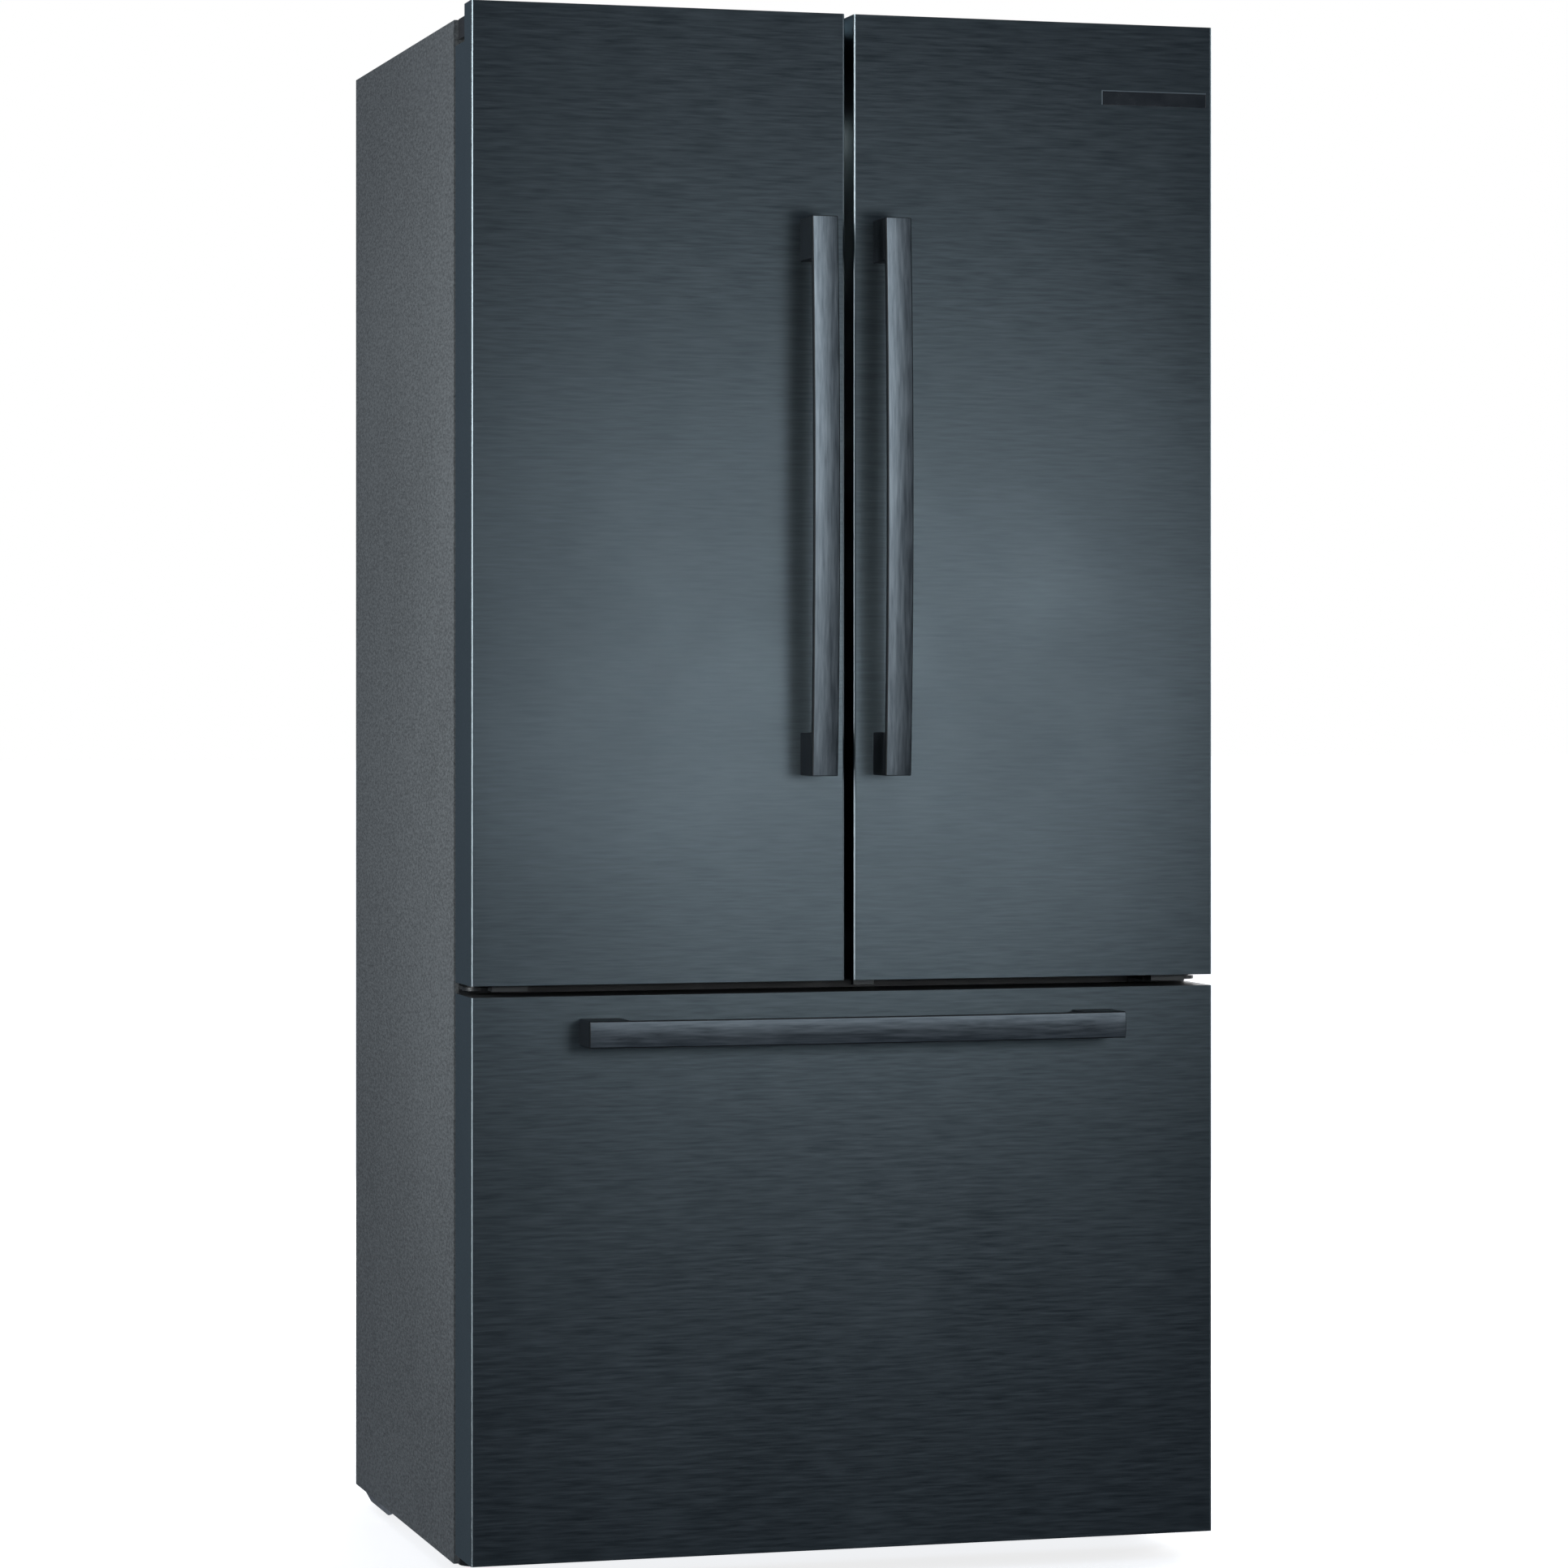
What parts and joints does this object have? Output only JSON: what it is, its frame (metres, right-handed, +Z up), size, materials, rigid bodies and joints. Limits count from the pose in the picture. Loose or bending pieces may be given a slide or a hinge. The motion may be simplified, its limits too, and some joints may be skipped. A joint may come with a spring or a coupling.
{
  "type": "french door refrigerator",
  "caption": "Free-standing refrigerator: side-hinged upper doors over a full-width freezer drawer, brushed dark steel fronts, bowed bar handles.",
  "frame": {"origin": "on the floor, under the centre of the bounding box", "axes": "+Z up, +X to the right as seen from the front, -Y out of the door faces"},
  "size_m": [0.905, 0.7609, 1.83],
  "materials": {
    "front_steel": "satin",
    "handle_steel": "satin",
    "mount_plastic": "satin",
    "cabinet_paint": "satin",
    "galvanised": "satin",
    "black_steel": "satin",
    "black_plastic": "matte",
    "gasket_rubber": "matte",
    "liner_plastic": "gloss",
    "foam": "matte",
    "shelf_glass": "gloss",
    "trim_plastic": "satin",
    "clear_plastic": "gloss",
    "console_plastic": "satin",
    "rail_steel": "satin",
    "fin_aluminium": "satin",
    "condenser_steel": "satin",
    "fan_plastic": "satin",
    "roller_plastic": "matte",
    "screw_steel": "satin",
    "plate_gloss": "gloss"
  },
  "bodies": {
    "cabinet": {"air_duct": "liner_plastic", "back_panel": "galvanised", "base_pan": "galvanised", "cabinet_wrap": "cabinet_paint", "compressor": "black_steel", "compressor_base": "galvanised", "condenser": "condenser_steel", "control_console": "console_plastic", "crossmember": "black_steel", "drawer_outer_rails": "rail_steel", "evaporator": "fin_aluminium", "evaporator_cover": "liner_plastic", "freezer_liner": "liner_plastic", "fridge_liner": "liner_plastic", "hinge_brackets": "black_steel", "hinge_covers": "black_plastic", "insulation_foam": "foam", "kick_plate": "black_plastic", "mains_inlet": "black_plastic", "rear_grille": "black_plastic", "screws": "screw_steel", "shelf_frames": "trim_plastic", "shelf_panes": "shelf_glass"},
    "left_door": {"left_door_bins": "clear_plastic", "left_door_caps": "black_plastic", "left_door_foam": "foam", "left_door_gasket": "gasket_rubber", "left_door_liner": "liner_plastic", "left_door_skin": "front_steel", "left_handle_bar": "handle_steel", "left_handle_mounts": "mount_plastic"},
    "right_door": {"right_door_bins": "clear_plastic", "right_door_caps": "black_plastic", "right_door_foam": "foam", "right_door_gasket": "gasket_rubber", "right_door_liner": "liner_plastic", "right_door_skin": "front_steel", "right_handle_bar": "handle_steel", "right_handle_mounts": "mount_plastic", "name_plate": "plate_gloss"},
    "centre_flap": {"flap_bar": "trim_plastic"},
    "freezer_drawer": {"drawer_skin": "front_steel", "drawer_caps": "black_plastic", "drawer_liner": "liner_plastic", "drawer_foam": "foam", "drawer_gasket": "gasket_rubber", "drawer_handle_bar": "handle_steel", "drawer_handle_mounts": "mount_plastic", "drawer_inner_rails": "rail_steel", "freezer_basket": "clear_plastic"},
    "middle_rails": {"drawer_middle_rails": "rail_steel"},
    "sliding_tray": {"freezer_tray": "clear_plastic"},
    "left_crisper_drawer": {"left_crisper": "clear_plastic"},
    "right_crisper_drawer": {"right_crisper": "clear_plastic"},
    "left_rear_roller": {"left_roller": "roller_plastic"},
    "right_rear_roller": {"right_roller": "roller_plastic"},
    "left_levelling_foot": {"left_foot": "black_plastic"},
    "right_levelling_foot": {"right_foot": "black_plastic"},
    "freezer_fan": {"evaporator_fan": "fan_plastic"},
    "compressor_fan": {"condenser_fan": "fan_plastic"}
  },
  "joints": [
    {"name": "left_door_hinge", "type": "hinge", "parent": "cabinet", "child": "left_door", "pos_m": [-0.433, -0.2575, 1.263], "axis": [0, 0, -1], "range_deg": [0, 110]},
    {"name": "right_door_hinge", "type": "hinge", "parent": "cabinet", "child": "right_door", "pos_m": [0.433, -0.2575, 1.263], "axis": [0, 0, 1], "range_deg": [0, 110]},
    {"name": "centre_flap_hinge", "type": "hinge", "parent": "left_door", "child": "centre_flap", "pos_m": [-0.038, -0.2165, 1.25], "axis": [0, 0, 1], "range_deg": [-90, 0]},
    {"name": "freezer_drawer_slide", "type": "slide", "parent": "cabinet", "child": "freezer_drawer", "axis": [0, -1, 0], "range_m": [0, 0.45]},
    {"name": "middle_rails_slide", "type": "slide", "parent": "cabinet", "child": "middle_rails", "axis": [0, -1, 0], "range_m": [0, 0.225]},
    {"name": "sliding_tray_slide", "type": "slide", "parent": "freezer_drawer", "child": "sliding_tray", "axis": [0, 1, 0], "range_m": [0, 0.19]},
    {"name": "left_crisper_slide", "type": "slide", "parent": "cabinet", "child": "left_crisper_drawer", "axis": [0, -1, 0], "range_m": [0, 0.05]},
    {"name": "right_crisper_slide", "type": "slide", "parent": "cabinet", "child": "right_crisper_drawer", "axis": [0, -1, 0], "range_m": [0, 0.05]},
    {"name": "left_roller_spin", "type": "hinge", "parent": "cabinet", "child": "left_rear_roller", "pos_m": [-0.414, 0.2605, 0.017], "axis": [1, 0, 0], "continuous": true},
    {"name": "right_roller_spin", "type": "hinge", "parent": "cabinet", "child": "right_rear_roller", "pos_m": [0.414, 0.2605, 0.017], "axis": [1, 0, 0], "continuous": true},
    {"name": "left_foot_screw", "type": "slide", "parent": "cabinet", "child": "left_levelling_foot", "axis": [0, 0, -1], "range_m": [0, 0.012]},
    {"name": "right_foot_screw", "type": "slide", "parent": "cabinet", "child": "right_levelling_foot", "axis": [0, 0, -1], "range_m": [0, 0.012]},
    {"name": "freezer_fan_spin", "type": "hinge", "parent": "cabinet", "child": "freezer_fan", "pos_m": [0, 0.2545, 0.57], "axis": [0, 1, 0], "continuous": true},
    {"name": "compressor_fan_spin", "type": "hinge", "parent": "cabinet", "child": "compressor_fan", "pos_m": [-0.06, 0.2725, 0.13], "axis": [1, 0, 0], "continuous": true}
  ],
  "couplings": [
    {"joint": "middle_rails_slide", "follows": "freezer_drawer_slide", "ratio": 0.5}
  ]
}
